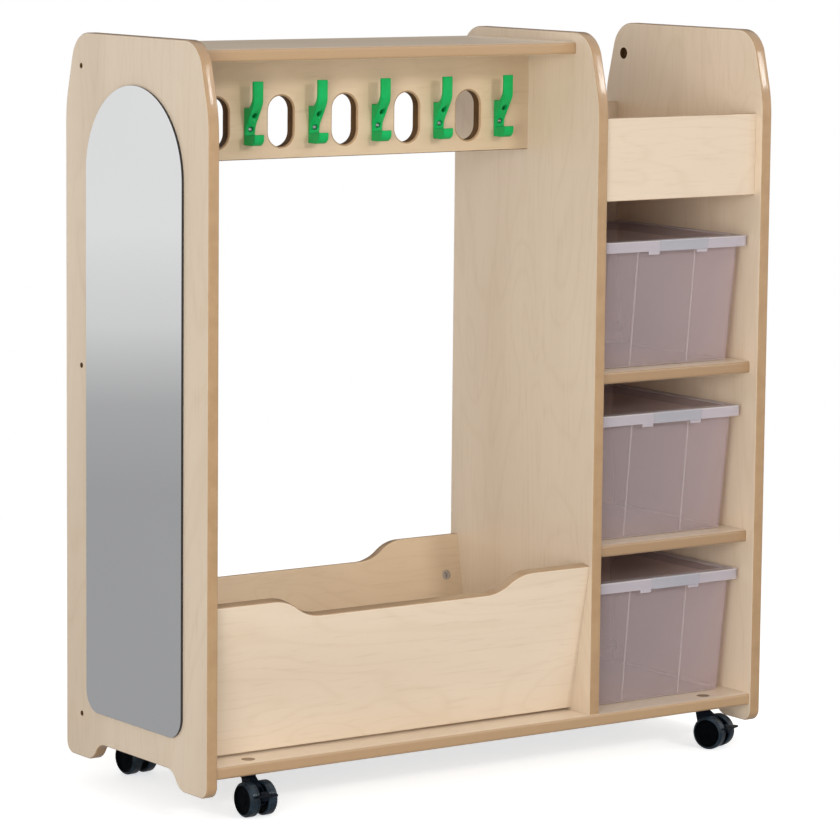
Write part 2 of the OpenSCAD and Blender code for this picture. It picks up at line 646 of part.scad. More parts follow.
module hood(i) place() caster_frame(i) color([0.1, 0.1, 0.12]) {
  r = wheel_d / 2;
  difference() {
    union() {
      // web between the wheels, in (y, z)
      translate([-hood_w / 2, 0, 0]) slab(hood_w)
        rpoly([[-trail - 17, r - 7, 6], [-trail + 4, r - 15, 8], [4, r + 2, 10], [9.5, hood_top - 6, 0],
               [9.5, hood_top, 0], [-9.5, hood_top, 4], [-trail - 12, r + 16, 10], [-trail - 21, r + 1, 5]]);
      translate([0, 0, hood_top - 5]) cylinder(d = hub_d, h = 5);
    }
    translate([0, 0, hood_top - pin_l - 0.6]) cylinder(d = swivel_d + 2 * run_fit, h = pin_l + 2);
    translate([-20, -trail, r]) rotate([0, 90, 0]) cylinder(d = axle_d, h = 40);
    if (i < 2) {
      translate([-20, pedal_y, pedal_z]) rotate([0, 90, 0]) cylinder(d = pedal_pin + 2 * run_fit, h = 40);
      translate([-tongue_w / 2 - 0.4, -trail - 30, pedal_z - tongue_r - 2])
        cube([tongue_w + 0.8, 22, tongue_r + 18]);
    }
  }
}
module hood_fl() hood(0);
module hood_fr() hood(1);
module hood_rl() hood(2);
module hood_rr() hood(3);

axle_l = wheel_gap + 2 * wheel_w - 8;
module axle(i) place() caster_frame(i) color([0.7, 0.71, 0.74]) translate([-axle_l / 2, -trail, wheel_d / 2])
  rotate([0, 90, 0]) rotate_extrude() polygon([[0, 0], [axle_d / 2 - 0.5, 0], [axle_d / 2, 0.5],
    [axle_d / 2, axle_l - 0.5], [axle_d / 2 - 0.5, axle_l], [0, axle_l]]);
module axle_fl() axle(0);
module axle_fr() axle(1);
module axle_rl() axle(2);
module axle_rr() axle(3);

// one wheel, turned: rounded tread, dished outer face, open inner side with a hub
module wheel(i, s) place() caster_frame(i) color([0.13, 0.15, 0.18])
  translate([s * wheel_gap / 2, -trail, wheel_d / 2]) rotate([0, s * 90, 0]) rotate_extrude($fn = 96) {
    r = wheel_d / 2; w = wheel_w; b = axle_d / 2 + run_fit;
    rpoly([[b, 0, 0], [b + 3, 0, 0], [b + 3, 2, 0], [r - 5, 2, 0], [r - 3, 0, 0], [r, 0, 2],
           [r, w - 4, 3], [r - 3, w, 2], [r - 5.5, w, 0.8], [r - 6.5, w - 1.6, 0],
           [0, w - 1.6, 0], [0, w - 3.4, 0], [b, w - 3.4, 0]]);
  }
module wheel_fl_a() wheel(0, -1);
module wheel_fl_b() wheel(0, 1);
module wheel_fr_a() wheel(1, -1);
module wheel_fr_b() wheel(1, 1);
module wheel_rl_a() wheel(2, -1);
module wheel_rl_b() wheel(2, 1);
module wheel_rr_a() wheel(3, -1);
module wheel_rr_b() wheel(3, 1);

// brake pedal: tread ahead of the wheels, tongue and hinge pin between the cheeks of the hood
module brake_pedal(i) place() caster_frame(i) color([0.08, 0.08, 0.1]) {
  back = pedal_tread - pedal_reach;
  z = wheel_d / 2 + 7;
  translate([-pedal_w / 2, 0, 0]) slab(pedal_w)
    rpoly([[-pedal_reach, z + 0.5, 1], [back, z, 0.5], [back, z + 3.5, 0.5], [-pedal_reach, z + 3.5, 1]]);
  translate([-tongue_w / 2, 0, 0]) slab(tongue_w) union() {
    translate([pedal_y, pedal_z]) circle(tongue_r);
    polygon([[pedal_y, pedal_z - 2], [pedal_y, pedal_z + tongue_r - 1], [back - 2, z + 3],
             [back - 2, z + 0.6]]);
  }
  translate([-hood_w / 2 + part_gap, pedal_y, pedal_z]) rotate([0, 90, 0])
    cylinder(d = pedal_pin, h = hood_w - 2 * part_gap);
}
module brake_pedal_fl() brake_pedal(0);
module brake_pedal_fr() brake_pedal(1);

end_panel_left();
end_panel_right();
divider();
base_board();
top_board();
hook_rail();
trough_front();
trough_back();
tower_back();
bin_floor();
bin_front();
shelf_upper();
shelf_lower();
mirror_sheet();
mirror_backing();
coat_hook_1();
coat_hook_2();
coat_hook_3();
coat_hook_4();
coat_hook_5();
coat_hook_6();
hook_screws();
cam_locks();
cam_bolts();
wood_dowels();
divider_screws();
caster_caps();
t_nuts();
tub_1();
tub_2();
tub_3();
tub_lid_1();
tub_lid_2();
tub_lid_3();
stem_fl();
stem_fr();
stem_rl();
stem_rr();
hood_fl();
hood_fr();
hood_rl();
hood_rr();
axle_fl();
axle_fr();
axle_rl();
axle_rr();
wheel_fl_a();
wheel_fl_b();
wheel_fr_a();
wheel_fr_b();
wheel_rl_a();
wheel_rl_b();
wheel_rr_a();
wheel_rr_b();
brake_pedal_fl();
brake_pedal_fr();
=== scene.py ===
import math

import bmesh
import bpy
from mathutils import Matrix, Vector


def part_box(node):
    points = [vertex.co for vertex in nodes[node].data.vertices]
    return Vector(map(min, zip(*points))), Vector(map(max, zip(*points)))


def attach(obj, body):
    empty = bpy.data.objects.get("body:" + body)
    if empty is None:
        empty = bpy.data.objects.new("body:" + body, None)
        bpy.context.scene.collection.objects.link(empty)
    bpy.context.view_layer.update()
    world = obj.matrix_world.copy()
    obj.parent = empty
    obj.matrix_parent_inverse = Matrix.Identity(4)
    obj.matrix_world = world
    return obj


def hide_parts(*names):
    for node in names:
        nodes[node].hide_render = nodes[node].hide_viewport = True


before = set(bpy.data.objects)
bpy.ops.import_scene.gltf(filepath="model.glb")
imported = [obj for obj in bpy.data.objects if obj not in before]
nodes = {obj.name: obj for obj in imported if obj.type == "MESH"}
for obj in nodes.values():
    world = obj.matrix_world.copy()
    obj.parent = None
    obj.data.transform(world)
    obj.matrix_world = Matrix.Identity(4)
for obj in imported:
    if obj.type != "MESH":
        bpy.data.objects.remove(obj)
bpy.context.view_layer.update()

panel_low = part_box("end_panel_left")[0]


# ---- End panels ------------------------------------------------------------------------------
# The two end boards carry everything else. They are 18 mm maple-faced board, cut to one outline
# with sloping cheeks and an arched foot cut-out, then routed round and lacquered tan on the edge.

def at(x, y, z):
    """Millimetres from the left panel's outer, front, bottom corner, as a point in metres."""
    return Vector((panel_low[0] + x / 1000, panel_low[1] + y / 1000, panel_low[2] + z / 1000))


def link(tree, *ends):
    for a, b in zip(ends[::2], ends[1::2]):
        tree.links.new(a, b)


def node(tree, kind, **values):
    """Adds a shader or geometry node. Names with capitals are input sockets, the rest are settings."""
    n = tree.nodes.new(kind)
    for key, value in values.items():
        if key[0].isupper():
            n.inputs[key.replace("_", " ")].default_value = value
        else:
            setattr(n, key, value)
    return n


def fresh(name):
    mat = bpy.data.materials.new(name)
    mat.use_nodes = True
    return mat, mat.node_tree, mat.node_tree.nodes["Principled BSDF"]


def ramp(tree, stops, source):
    r = tree.nodes.new("ShaderNodeValToRGB")
    while len(r.color_ramp.elements) < len(stops):
        r.color_ramp.elements.new(0.5)
    for e, (place, colour) in zip(r.color_ramp.elements, stops):
        e.position = place
        e.color = (*colour, 1)
    link(tree, source, r.inputs[0])
    return r.outputs[0]


def maple(name, grain, light, dark, tan=None, faces=None):
    """Lacquered maple board. grain is the axis the figure runs along. Where tan is given, surfaces
    that don't face along the axis faces show the tan lacquered edge instead."""
    mat, tree, shader = fresh(name)
    where = node(tree, "ShaderNodeTexCoord")

    def noise(along, across, **values):
        stretch = [across] * 3
        stretch["XYZ".index(grain)] = along
        n = node(tree, "ShaderNodeTexNoise", Scale=1.0, **values)
        m = node(tree, "ShaderNodeMapping", Scale=stretch)
        link(tree, where.outputs["Object"], m.inputs[0], m.outputs[0], n.inputs["Vector"])
        return n.outputs[0]

    def darkened(colour, pattern, stops, share):
        mix = node(tree, "ShaderNodeMix", data_type="RGBA", blend_type="MULTIPLY")
        mix.inputs[0].default_value = share
        link(tree, colour, mix.inputs[6], ramp(tree, stops, pattern), mix.inputs[7])
        return mix.outputs[2]

    middle = [(a + b) / 2 for a, b in zip(dark, light)]
    colour = ramp(tree, [(0.30, dark), (0.50, middle), (0.72, light)],
                  noise(0.9, 5.5, Detail=4.0, Roughness=0.5, Distortion=0.6))
    heart = noise(1.4, 7.0, Detail=1.0, Distortion=1.2)
    ring_gap = 0.045
    rings = node(tree, "ShaderNodeMath", operation="PINGPONG")
    rings.inputs[1].default_value = ring_gap
    spread = node(tree, "ShaderNodeMapRange", From_Min=0.0, From_Max=ring_gap)
    link(tree, heart, rings.inputs[0], rings.outputs[0], spread.inputs[0])
    colour = darkened(colour, spread.outputs[0], [(0.0, (0.93, 0.905, 0.87)), (0.35, (1, 1, 1))], 0.45)
    fleck = noise(16.0, 240.0, Detail=2.0, Roughness=0.6)
    colour = darkened(colour, fleck, [(0.30, (0.90, 0.875, 0.84)), (0.43, (1, 1, 1))], 0.5)
    if tan:
        split = node(tree, "ShaderNodeSeparateXYZ")
        size = node(tree, "ShaderNodeMath", operation="ABSOLUTE")
        face = node(tree, "ShaderNodeMapRange", From_Min=0.80, From_Max=0.97)
        band = node(tree, "ShaderNodeMix", data_type="RGBA")
        band.inputs[6].default_value = (*tan, 1)
        link(tree, where.outputs["Normal"], split.inputs[0],
             split.outputs["XYZ".index(faces)], size.inputs[0], size.outputs[0], face.inputs[0],
             face.outputs[0], band.inputs[0], colour, band.inputs[7])
        colour = band.outputs[2]
    bump = node(tree, "ShaderNodeBump", Strength=0.05, Distance=0.0004)
    link(tree, colour, shader.inputs["Base Color"], fleck, bump.inputs["Height"],
         bump.outputs[0], shader.inputs["Normal"])
    shader.inputs["Roughness"].default_value = 0.42
    shader.inputs["Coat Weight"].default_value = 0.5
    shader.inputs["Coat Roughness"].default_value = 0.28
    return mat


def lacquer(name, colour, deep, rough, gloss=1.0, coat=0.35):
    """Plain colour, a little uneven: lacquered edges, bare board core, painted or moulded parts."""
    mat, tree, shader = fresh(name)
    where = node(tree, "ShaderNodeTexCoord")
    mottle = node(tree, "ShaderNodeTexNoise", Scale=38.0, Detail=4.0, Roughness=0.6)
    link(tree, where.outputs["Object"], mottle.inputs["Vector"],
         ramp(tree, [(0.35, deep), (0.62, colour)], mottle.outputs[0]), shader.inputs["Base Color"])
    shader.inputs["Roughness"].default_value = rough
    shader.inputs["Specular IOR Level"].default_value = 0.5 * gloss
    shader.inputs["Coat Weight"].default_value = coat * gloss
    shader.inputs["Coat Roughness"].default_value = 0.13
    return mat


def rounded(points):
    """Outline from (x, y, radius) corners, counter-clockwise, with each corner turned into an arc
    of chords that turn by 7 degrees at most and lie within 0.03 mm of it."""
    coarsest, off_arc, same_place = math.radians(7), 0.03, 0.01
    out = []
    for i, (x, y, r) in enumerate(points):
        p = Vector((x, y))
        if r == 0:
            out.append(p)
            continue
        a = (Vector(points[i - 1][:2]) - p).normalized()
        b = (Vector(points[(i + 1) % len(points)][:2]) - p).normalized()
        half = a.angle(b) / 2
        centre = p + (a + b).normalized() * r / math.sin(half)
        first = p + a * r / math.tan(half) - centre
        turn = math.pi - 2 * half
        if (p - Vector(points[i - 1][:2])).cross(b) < 0:
            turn = -turn
        fine = min(coarsest, 2 * math.acos(max(0, 1 - off_arc / r)))
        steps = max(3, math.ceil(abs(turn) / fine))
        for k in range(steps + 1):
            c, s = math.cos(turn * k / steps), math.sin(turn * k / steps)
            out.append(centre + Vector((c * first.x - s * first.y, s * first.x + c * first.y)))
    return [p for k, p in enumerate(out) if (p - out[k - 1]).length > same_place]


def ogee(run, rise):
    """Radius of two equal arcs that carry an edge over to another level, run along and rise away,
    and how far each arc starts from the corner of its tangents."""
    r = (run * run + rise * rise) / (4 * rise)
    return r, r * math.tan(math.atan(rise / run))


def inset(loop, d):
    """The loop moved inwards by d, each point along the mean of its two edges' normals."""
    least = 0.3                          # keeps a point at a sharp corner from running far in
    out = []
    for i, p in enumerate(loop):
        a = (p - loop[i - 1]).normalized()
        b = (loop[(i + 1) % len(loop)] - p).normalized()
        n = Vector((-a.y - b.y, a.x + b.x)).normalized()
        out.append(p + n * d / max(least, n.dot(Vector((-a.y, a.x)))))
    return out


def made(name, bm, mats, sharp=None):
    """A new object with the faces of bm. Edges over the angle sharp, in degrees, are kept sharp."""
    mesh = bpy.data.meshes.new(name)
    bm.to_mesh(mesh)
    bm.free()
    for m in mats:
        mesh.materials.append(m)
    if sharp:
        mesh.set_sharp_from_angle(angle=math.radians(sharp))
    obj = bpy.data.objects.new(name, mesh)
    bpy.context.scene.collection.objects.link(obj)
    return obj


def routed(name, outline, thick, place, mats, nose, holes=(), hole_nose=0):
    """A board of the given outline in millimetres, routed round at its edges. place puts (u, v, w)
    of the board into the row frame. Material 0 is on the two faces and the start of the rounding,
    1 on the rest of the edge, and a third, where there is one, on the walls of the holes."""
    bm = bmesh.new()
    caps = ([], [])
    skin = 0.06                          # clear of the CAD faces, so that a bore cut leaves no slivers
    steps = 6
    for k, loop in enumerate([outline, *holes]):
        r = nose if k == 0 else hole_nose
        rows = []
        for side in (0, 1):
            for s in range(steps + 1):
                t = math.pi / 2 * (s if side == 0 else steps - s) / steps
                deep = skin + r * (1 - math.cos(t))
                ring = inset(loop, skin + r * (1 - math.sin(t)))
                w = deep if side == 0 else thick - deep
                rows.append([bm.verts.new(place @ Vector((p.x / 1000, p.y / 1000, w / 1000))) for p in ring])
        for n, (a, b) in enumerate(zip(rows, rows[1:])):
            for i in range(len(a)):
                f = bm.faces.new((a[i - 1], a[i], b[i], b[i - 1]))
                f.material_index = 0 if k == 0 and min(n, 2 * steps - n) < 2 else 1
                if k and n == steps and len(mats) > 2:
                    f.material_index = 2
                f.smooth = True
        for cap, row in zip(caps, (rows[0], rows[-1])):
            cap.extend(bm.edges.get((row[i - 1], row[i])) for i in range(len(row)))
    for cap in caps:
        filled = bmesh.ops.triangle_fill(bm, edges=cap, use_beauty=True, use_dissolve=False)
        for f in filled["geom"]:
            if isinstance(f, bmesh.types.BMFace):
                f.material_index = 0
                f.smooth = False
    bmesh.ops.recalc_face_normals(bm, faces=bm.faces)
    return made(name, bm, mats)


def settled(obj):
    """Turns an object with modifiers into a plain mesh."""
    plain = bpy.data.meshes.new_from_object(obj.evaluated_get(bpy.context.evaluated_depsgraph_get()))
    obj.modifiers.clear()
    obj.data = plain


def cut_by(obj, tool, operation, materials="INDEX"):
    """Cuts obj with the object tool, which is then removed."""
    cut = obj.modifiers.new("cut", "BOOLEAN")
    cut.operation, cut.solver, cut.object, cut.material_mode = operation, "EXACT", tool, materials
    settled(obj)
    bpy.data.objects.remove(tool)


def bored(obj, cad_node, core, body="carcass"):
    """Keeps what obj and the CAD piece share, so the rounded piece gets every bore of the real one."""
    bm = bmesh.new()
    bm.from_mesh(nodes[cad_node].data)
    bmesh.ops.remove_doubles(bm, verts=bm.verts, dist=1e-6)
    bmesh.ops.dissolve_limit(bm, angle_limit=0.001, verts=bm.verts, edges=bm.edges)
    for f in bm.faces:
        f.material_index = 0
    cut_by(obj, made("blank", bm, [core]), "INTERSECT", "TRANSFER")
    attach(obj, body)
    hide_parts(cad_node)


def across(x, y, z):
    """Board frame with u to the rear, v up and its thickness to the right."""
    o = at(x, y, z)
    return Matrix(((0, 0, 1, o.x), (1, 0, 0, o.y), (0, 1, 0, o.z), (0, 0, 0, 1)))


depth = 387
height = 1060
board = 18
width = round((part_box("end_panel_right")[1][0] - panel_low[0]) * 1000, 3)
maple_light, maple_dark = (0.795, 0.675, 0.540), (0.690, 0.568, 0.437)
tan, tan_deep = (0.440, 0.288, 0.160), (0.400, 0.255, 0.138)
upright_maple = maple("upright_maple", "Z", maple_light, maple_dark)


def toned(name, grain, tone, **values):
    """Maple lighter or darker than the rest by the shares in tone. Where a piece is made lighter or darker
    with it, that is painted light or painted shade, as said where the piece is made.
    """
    light, dark = ([c * t for c, t in zip(colour, tone)] for colour in (maple_light, maple_dark))
    return maple(name, grain, light, dark, **values)


tan_edge = lacquer("tan_edge", tan, tan_deep, rough=0.32, gloss=0.5, coat=1.4)
core_board = lacquer("bored_board_core", (0.16, 0.095, 0.042), (0.10, 0.058, 0.024), rough=0.6, gloss=0.2)


def upright(front, rear, bottom, feet):
    """Outline of an upright from the side, with an arched cut-out between its feet where it has any."""
    cheek_down, cheek_bend, top_in, top_bend = 105, 200, 27, 45
    foot_long, foot_bend, arch_run, arch_rise = 60, 18, 48, 27
    r, t = ogee(arch_run, arch_rise)
    low = [(front, bottom, 0), (rear, bottom, 0)]
    if feet:
        low = [(front, bottom, foot_bend), (front + foot_long + t, bottom, r),
               (front + foot_long + arch_run - t, bottom + arch_rise, r),
               (rear - foot_long - arch_run + t, bottom + arch_rise, r),
               (rear - foot_long - t, bottom, r), (rear, bottom, foot_bend)]
    return rounded(low + [(rear, height - cheek_down, cheek_bend), (rear - top_in, height, top_bend),
                          (front + top_in, height, top_bend), (front, height - cheek_down, cheek_bend)])


arris = 2.5                              # radius routed on the uprights' edges
# The right panel's maple is lighter than the rest: painted light, standing in for the light inside the tub
# tower.
right_panel_painted_light = toned("right_panel_maple_painted_light", "Z", (1.12, 1.11, 1.09))
for side, x, sheet in (("left", 0, upright_maple), ("right", width - board, right_panel_painted_light)):
    panel = routed("end_panel_" + side + "_routed", upright(0, depth, 0, True), board,
                   across(x, 0, 0), [sheet, tan_edge], nose=arris)
    bored(panel, "end_panel_" + side, core_board)


# ---- Divider ---------------------------------------------------------------------------------
# An upright board between the hanging bay and the tub tower. It stands on the base, held by
# three screws from below, and has the end panels' cheeks at its top.

divider_left = round((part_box("divider")[0][0] - panel_low[0]) * 1000, 3)
front_in, rear_in, base_top = 9, 15, 38
divider = routed("divider_routed", upright(front_in, depth - rear_in, base_top, False), board,
                 across(divider_left, 0, 0), [upright_maple, tan_edge], nose=arris)
bored(divider, "divider", core_board)


# ---- Base, top, shelves and bin --------------------------------------------------------------
# Level boards between the uprights, and the two upright boards of the open bin and the tower's
# back. They keep their CAD shapes and are faced and edged like the panels.

def finished(mat, *names):
    """Gives the named CAD pieces their material."""
    for name in names:
        nodes[name].data.materials.clear()
        nodes[name].data.materials.append(mat)


# The level boards' maple is made lighter than the rest: painted light on their tops. The shelves' tan edges
# are darker than the other edges: painted shade.
shelf_tan_painted_shade = (0.370, 0.238, 0.132)
finished(toned("flat_board_maple_painted_light", "X", (1.08, 1.08, 1.08), tan=tan, faces="Z"),
         "base_board", "top_board", "bin_floor")
finished(toned("shelf_board_maple_painted_light", "X", (1.1, 1.1, 1.1), tan=shelf_tan_painted_shade, faces="Z"),
         "shelf_upper", "shelf_lower")
# The bin front's maple is darker than the rest: painted shade that takes down the light falling on it.
finished(toned("bin_front_maple_painted_shade", "X", (0.92, 0.91, 0.90), tan=tan, faces="Y"), "bin_front")
finished(toned("tower_back_maple", "X", (1, 1, 1), tan=tan, faces="Y"), "tower_back")


# ---- Hook rail -------------------------------------------------------------------------------
# The board that carries the coat hooks, with a row of upright finger slots routed through it.
# The slots' rims are rounded over, and their walls inside are painted dark brown: painted shade. Its ends
# butt square.

def lengthwise(x, y, z, lean=0.0, rear=False):
    """Board frame with u to the right, v up, and its thickness to the rear (or front if rear)."""
    s = -1 if rear else 1
    o = at(x, y, z)
    a = math.radians(lean)
    return Matrix(((1, 0, 0, o.x), (0, -s * math.sin(a), s * math.cos(a), o.y),
                   (0, math.cos(a), math.sin(a), o.z), (0, 0, 0, 1)))


bay = divider_left - board
rail_low, rail_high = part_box("hook_rail")
rail_z = (rail_low[2] - panel_low[2]) * 1000
rail_y = (rail_low[1] - panel_low[1]) * 1000
rail_h = (rail_high[2] - rail_low[2]) * 1000
hook_count = 6
pitch = bay / hook_count
slot_r, slot_low, slot_tall, arc_steps = 21.5, 17, 73.5, 18
slots = []
for k in range(hook_count - 1):
    middle = bay / 2 + (k - (hook_count - 2) / 2) * pitch
    ring = []
    for z, first in ((slot_low + slot_r, math.pi), (slot_low + slot_tall - slot_r, 0)):
        for s in range(arc_steps + 1):
            a = math.pi * s / arc_steps + first
            ring.append(Vector((middle + slot_r * math.cos(a), z + slot_r * math.sin(a))))
    slots.append(ring[::-1])
spare = 4                                # cut off again, so that only the long edges are rounded
rail_line = rounded([(-spare, 0, 0), (bay + spare, 0, 0), (bay + spare, rail_h, 0), (-spare, rail_h, 0)])
# The rail's maple is darker and warmer than the rest: painted shade, where the top board shades it.
rail_maple_painted_shade = toned("rail_maple_painted_shade", "X", (0.88, 0.82, 0.72))
# The slots' walls are dark brown: painted shade, where the walls face away from the lamps.
slot_painted_shade = lacquer("slot_painted_shade", (0.120, 0.060, 0.020), (0.080, 0.038, 0.012), rough=0.55, gloss=0.15)
rail = routed("hook_rail_routed", rail_line, board, lengthwise(board, rail_y, rail_z),
              [rail_maple_painted_shade, tan_edge, slot_painted_shade], nose=1, holes=slots, hole_nose=2.5)
bored(rail, "hook_rail", core_board)


# ---- Costume trough --------------------------------------------------------------------------
# Two long boards that lean outwards and form a trough over the base. Each dips in the middle so
# that a child can reach in. They are held to the uprights with cam locks.

run, dip, shoulder, tall = 83, 28, 104, 226
inward, bottom, lean = 57, 46.5, 10.5
r, t = ogee(run, dip)
trough_line = rounded([(-spare, 0, 0), (bay + spare, 0, 0), (bay + spare, tall, 0),
                       (bay - shoulder - t, tall, r), (bay - shoulder - run + t, tall - dip, r),
                       (shoulder + run - t, tall - dip, r), (shoulder + t, tall, r),
                       (-spare, tall, 0)])
# The back board's maple is darker and warmer than the front's: painted shade inside the trough.
for side, y, tone in (("front", inward, (1, 1, 1)), ("back", depth - inward, (0.98, 0.93, 0.84))):
    sheet = toned("trough_" + side + "_maple", "X", tone)
    plank = routed("trough_" + side + "_routed", trough_line, board,
                   lengthwise(board, y, bottom, lean, rear=side == "back"), [sheet, tan_edge], nose=2)
    bored(plank, "trough_" + side, core_board)


# ---- Mirror ----------------------------------------------------------------------------------
# A tall acrylic mirror with a round top, stuck flat on the left end panel. Its sheet is silvered,
# and its polished edge and the thin backing under it look blue-black.

silver, tree, shader = fresh("mirror_silver")
where = node(tree, "ShaderNodeTexCoord")
waves = node(tree, "ShaderNodeTexNoise", Scale=3.0, Detail=1.0)
ripple = node(tree, "ShaderNodeBump", Strength=0.02, Distance=0.0005)
tone = ramp(tree, [(0.3, (0.92, 0.925, 0.93)), (0.7, (0.94, 0.945, 0.95))], waves.outputs[0])
link(tree, where.outputs["Object"], waves.inputs["Vector"], waves.outputs[0], ripple.inputs["Height"],
     ripple.outputs[0], shader.inputs["Normal"], tone, shader.inputs["Base Color"])
shader.inputs["Metallic"].default_value = 1
shader.inputs["Roughness"].default_value = 0.03
mirror_edge = lacquer("mirror_edge_black", (0.014, 0.016, 0.024), (0.010, 0.011, 0.016), rough=0.2)
backing = lacquer("mirror_backing_black", (0.014, 0.015, 0.02), (0.01, 0.01, 0.014), rough=0.5)
low, high = ((Vector(p) - panel_low) * 1000 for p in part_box("mirror_sheet"))
foot_bend, top_bend = 32, (high.y - low.y) / 2
arch = rounded([(low.y, low.z, foot_bend), (high.y, low.z, foot_bend),
                (high.y, high.z, top_bend), (low.y, high.z, top_bend)])
mirror = routed("mirror_polished", arch, high.x - low.x, across(low.x, 0, 0), [silver, mirror_edge],
                nose=0.5)
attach(mirror, "carcass")
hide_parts("mirror_sheet")
finished(backing, "mirror_backing")


# ---- Coat hooks ------------------------------------------------------------------------------
# One-piece moulded hooks in bright green, each held to the rail by two screws sunk in its back
# plate. A short foot turns up at the bottom and a long arm leans forward at the top.

green, tree, shader = fresh("hook_green_plastic")
where = node(tree, "ShaderNodeTexCoord")
mottle = node(tree, "ShaderNodeTexNoise", Scale=60.0, Detail=3.0)
orange_peel = node(tree, "ShaderNodeBump", Strength=0.08, Distance=0.0003)
link(tree, where.outputs["Object"], mottle.inputs["Vector"],
     ramp(tree, [(0.3, (0.001, 0.37, 0.085)), (0.7, (0.002, 0.42, 0.11))], mottle.outputs[0]),
     shader.inputs["Base Color"], mottle.outputs[0], orange_peel.inputs["Height"],
     orange_peel.outputs[0], shader.inputs["Normal"])
shader.inputs["Roughness"].default_value = 0.42
shader.inputs["Specular IOR Level"].default_value = 0.3

hook_side = rounded([
    (0, 53.8, 0), (-12.5, 53.8, 6), (-21.6, 64, 22), (-21.6, 92.5, 1.2), (-26.3, 92.5, 1.2),
    (-26.3, 60, 24), (-16, 43, 20), (-6.2, 27, 18), (-4.4, 14.2, 2.2), (-29, 16.8, 1.6),
    (-29, 0, 11), (0, 0, 0)])
hook_wide, hook_up = 17, 21
first_hook = board + bay / 2 - (hook_count - 1) / 2 * pitch
hooks = routed("coat_hooks", hook_side, hook_wide,
               across(first_hook - hook_wide / 2, rail_y, rail_z + hook_up), [green, green], nose=1.4)
screw_heights = (23, 43.5)
recess_r, plate_under, drill_long = 4, 2.6, 40
for up in screw_heights:
    middle = at(first_hook, rail_y - plate_under - drill_long / 2, rail_z + hook_up + up)
    bm = bmesh.new()
    bmesh.ops.create_cone(bm, cap_ends=True, segments=32, radius1=recess_r / 1000,
                          radius2=recess_r / 1000, depth=drill_long / 1000,
                          matrix=Matrix.Translation(middle) @ Matrix.Rotation(math.pi / 2, 4, "X"))
    cut_by(hooks, made("screw_recess", bm, []), "DIFFERENCE")

row = bpy.data.node_groups.new("row_of_hooks", "GeometryNodeTree")
for io, name, kind in (("INPUT", "Geometry", "NodeSocketGeometry"), ("INPUT", "Hooks", "NodeSocketInt"),
                       ("INPUT", "Pitch", "NodeSocketFloat"), ("INPUT", "Plastic", "NodeSocketMaterial"),
                       ("OUTPUT", "Geometry", "NodeSocketGeometry")):
    row.interface.new_socket(name, in_out=io, socket_type=kind)
start, end = node(row, "NodeGroupInput"), node(row, "NodeGroupOutput")
step = node(row, "ShaderNodeCombineXYZ")
line = node(row, "GeometryNodeMeshLine")
each = node(row, "GeometryNodeInstanceOnPoints")
real = node(row, "GeometryNodeRealizeInstances")
paint = node(row, "GeometryNodeSetMaterial")
link(row, start.outputs["Pitch"], step.inputs[0], step.outputs[0], line.inputs["Offset"],
     start.outputs["Hooks"], line.inputs["Count"], line.outputs[0], each.inputs["Points"],
     start.outputs["Geometry"], each.inputs["Instance"], each.outputs[0], real.inputs[0],
     real.outputs[0], paint.inputs["Geometry"], start.outputs["Plastic"], paint.inputs["Material"],
     paint.outputs[0], end.inputs[0])
spread = hooks.modifiers.new("row", "NODES")
spread.node_group = row
for item in row.interface.items_tree:
    if item.in_out == "INPUT" and item.name != "Geometry":
        spread[item.identifier] = {"Hooks": hook_count, "Pitch": pitch / 1000, "Plastic": green}[item.name]
settled(hooks)
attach(hooks, "carcass")
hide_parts(*("coat_hook_%d" % (k + 1) for k in range(hook_count)))


# ---- Screws, cam locks, bolts, dowels and caps -----------------------------------------------
# Zinc-plated fittings that hold the boards, beech dowels that line them up, and tan plastic
# caps over the caster nuts.

def metal(name, colour, rough):
    mat, tree, shader = fresh(name)
    where = node(tree, "ShaderNodeTexCoord")
    scratch = node(tree, "ShaderNodeTexNoise", Scale=400.0, Detail=3.0)
    level = node(tree, "ShaderNodeMapRange", To_Min=rough - 0.08, To_Max=rough + 0.12)
    tone = ramp(tree, [(0.3, [c * 0.8 for c in colour]), (0.7, colour)], scratch.outputs[0])
    link(tree, where.outputs["Object"], scratch.inputs["Vector"], tone, shader.inputs["Base Color"],
         scratch.outputs[0], level.inputs[0], level.outputs[0], shader.inputs["Roughness"])
    shader.inputs["Metallic"].default_value = 1
    return mat


finished(metal("zinc_plate", (0.62, 0.63, 0.66), rough=0.35),
         "hook_screws", "cam_locks", "cam_bolts", "divider_screws", "t_nuts",
         "stem_fl", "stem_fr", "stem_rl", "stem_rr", "axle_fl", "axle_fr", "axle_rl", "axle_rr")
finished(maple("beech_dowel", "X", (0.72, 0.55, 0.36), (0.60, 0.44, 0.27)), "wood_dowels")
finished(lacquer("cap_tan_plastic", (0.215, 0.135, 0.060), (0.165, 0.100, 0.042), rough=0.45),
         "caster_caps")


# ---- Tubs ------------------------------------------------------------------------------------
# Clear polypropylene storage tubs, moulded with drafted walls, rounded corners, two upright ribs
# on the front and rear walls and a turned-out rim.

